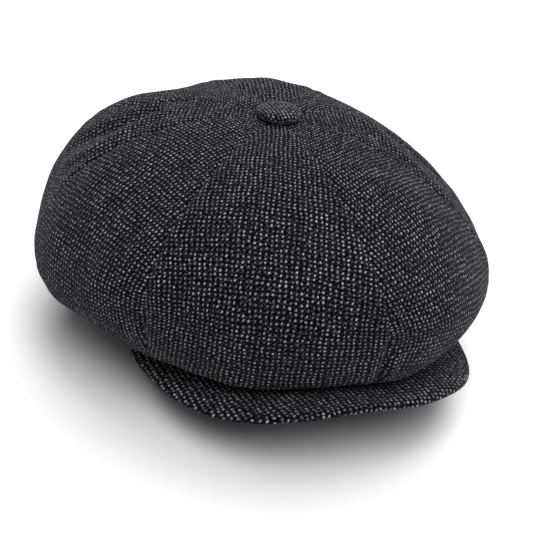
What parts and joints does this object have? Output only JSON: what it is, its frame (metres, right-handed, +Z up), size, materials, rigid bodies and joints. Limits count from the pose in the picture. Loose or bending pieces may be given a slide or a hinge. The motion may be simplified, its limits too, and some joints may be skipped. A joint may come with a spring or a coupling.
{
  "type": "newsboy cap",
  "caption": "Soft newsboy cap in dark nailhead tweed: full paneled crown with a cloth-covered top button, lining, sweatband and a short stiff visor.",
  "frame": {"origin": "centre of the head opening, at the level of the hem's flat bottom", "axes": "+Z up towards the top button, -Y forwards to the visor, +X to the wearer's left"},
  "size_m": [0.2536, 0.2738, 0.1217],
  "materials": {
    "tweed": "napped wool-blend tweed, light dots on a near-black ground",
    "lining_satin": "smooth satin weave",
    "sweatband_cotton": "ribbed cotton twill",
    "interlining_fusing": "stiff fused canvas",
    "visor_board": "matte sheet",
    "button_steel": "pressed sheet steel"
  },
  "bodies": {
    "root": {"crown_gore_front_left": "tweed", "crown_gore_front_right": "tweed", "crown_gore_front_side_left": "tweed", "crown_gore_front_side_right": "tweed", "crown_gore_back_side_left": "tweed", "crown_gore_back_side_right": "tweed", "crown_gore_back_left": "tweed", "crown_gore_back_right": "tweed", "lining_gore_front_left": "lining_satin", "lining_gore_front_right": "lining_satin", "lining_gore_front_side_left": "lining_satin", "lining_gore_front_side_right": "lining_satin", "lining_gore_back_side_left": "lining_satin", "lining_gore_back_side_right": "lining_satin", "lining_gore_back_left": "lining_satin", "lining_gore_back_right": "lining_satin", "sweatband": "sweatband_cotton", "band_interlining": "interlining_fusing", "button_cover": "tweed", "button_shell": "button_steel", "button_tack": "button_steel", "button_washer": "button_steel"},
    "visor": {"visor_top_cloth": "tweed", "visor_board": "visor_board", "visor_under_cloth": "tweed"}
  },
  "joints": [
    {"name": "visor_flex", "type": "hinge", "parent": "root", "child": "visor", "pos_m": [0, -0.035, 0.0035], "axis": [1, 0, 0], "range_deg": [0, 14], "stiffness_Nm_per_rad": 0.8, "springref_deg": -2.86}
  ]
}
